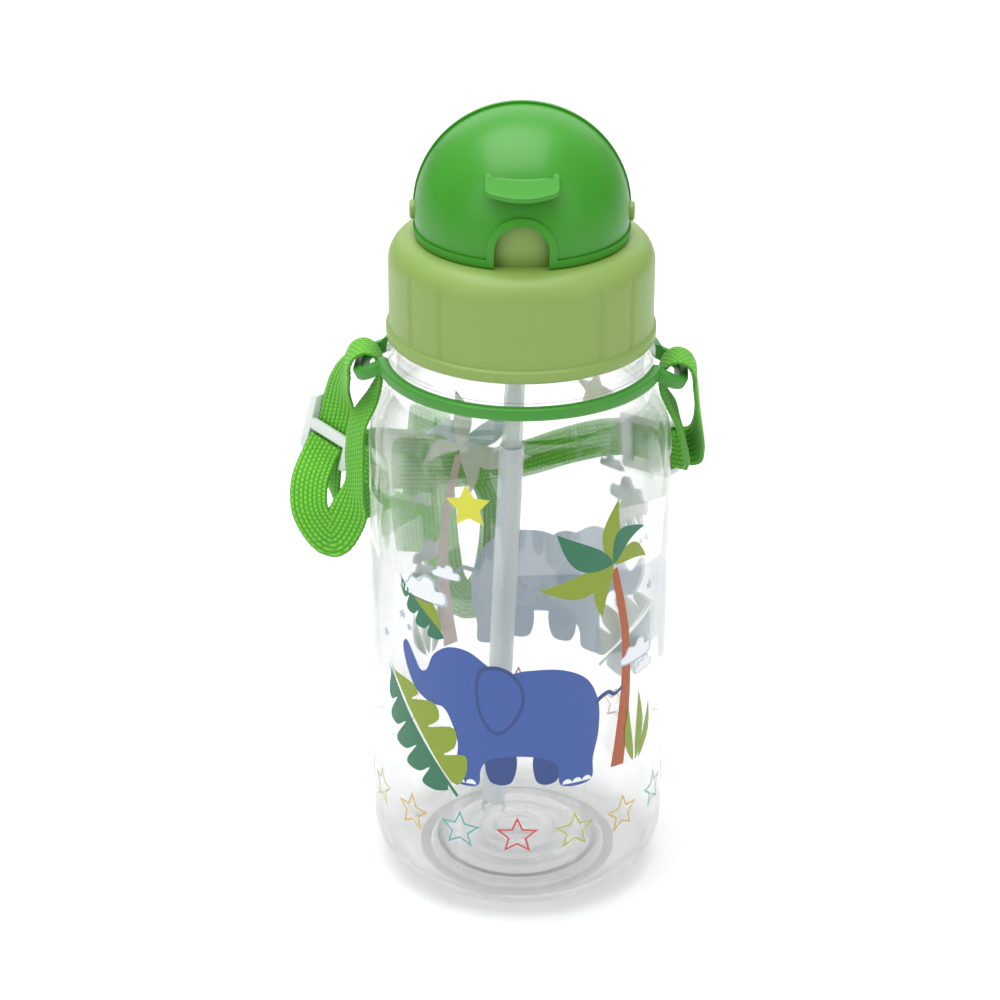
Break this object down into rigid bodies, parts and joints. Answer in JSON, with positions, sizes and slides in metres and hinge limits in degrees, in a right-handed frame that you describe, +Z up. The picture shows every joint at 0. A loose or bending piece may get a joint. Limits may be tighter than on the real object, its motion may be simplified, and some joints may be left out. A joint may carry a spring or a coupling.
{
  "type": "children's drinking bottle",
  "caption": "Clear drinking bottle with a screw cap, a flip-up dome cover over a soft spout, a straw, and a swivelling carrier ring with a webbing strap and adjusters.",
  "frame": {"origin": "centre of the base, on the plane that the bottle stands on", "axes": "+Z up along the bottle's axis, -Y the front with the finger tab, +X to the right seen from the front"},
  "size_m": [0.1006, 0.0922, 0.1956],
  "materials": {
    "clear_plastic": "clear, polished, with a printed pattern",
    "lime_plastic": "satin moulded plastic",
    "green_plastic": "satin moulded plastic",
    "ring_plastic": "satin flexible plastic",
    "silicone": "matt translucent silicone",
    "clear_fitting": "clear, faintly green",
    "straw_plastic": "milky translucent",
    "milky_plastic": "milky translucent",
    "webbing": "ribbed woven webbing",
    "print_ink": "screen-printed ink in several colours, with a pale undercoat"
  },
  "bodies": {
    "root": {"bottle": "clear_plastic"},
    "cap_seal": {"cap_gasket": "silicone"},
    "cap": {"screw_cap": "lime_plastic", "spout_housing": "lime_plastic", "spout": "silicone", "straw_socket": "clear_fitting", "straw": "straw_plastic", "vent_valve": "silicone"},
    "cover": {"flip_cover": "green_plastic"},
    "carrier": {"carrier_ring": "ring_plastic", "strap": "webbing", "adjuster_left": "milky_plastic", "adjuster_right": "milky_plastic"}
  },
  "joints": [
    {"name": "cap_lift", "type": "slide", "parent": "root", "child": "cap_seal", "axis": [0, 0, 1], "range_m": [0, 0.0076]},
    {"name": "cap_turn", "type": "hinge", "parent": "cap_seal", "child": "cap", "pos_m": [0, 0, 0.15], "axis": [0, 0, 1], "range_deg": [0, 540]},
    {"name": "cover_open", "type": "hinge", "parent": "cap", "child": "cover", "pos_m": [0, 0, 0.17047], "axis": [-1, 0, 0], "range_deg": [0, 90]},
    {"name": "ring_swivel", "type": "hinge", "parent": "root", "child": "carrier", "pos_m": [0, 0, 0.134], "axis": [0, 0, 1], "continuous": true}
  ],
  "couplings": [
    {"joint": "cap_lift", "follows": "cap_turn", "m_per_rad": 0.00079577}
  ]
}
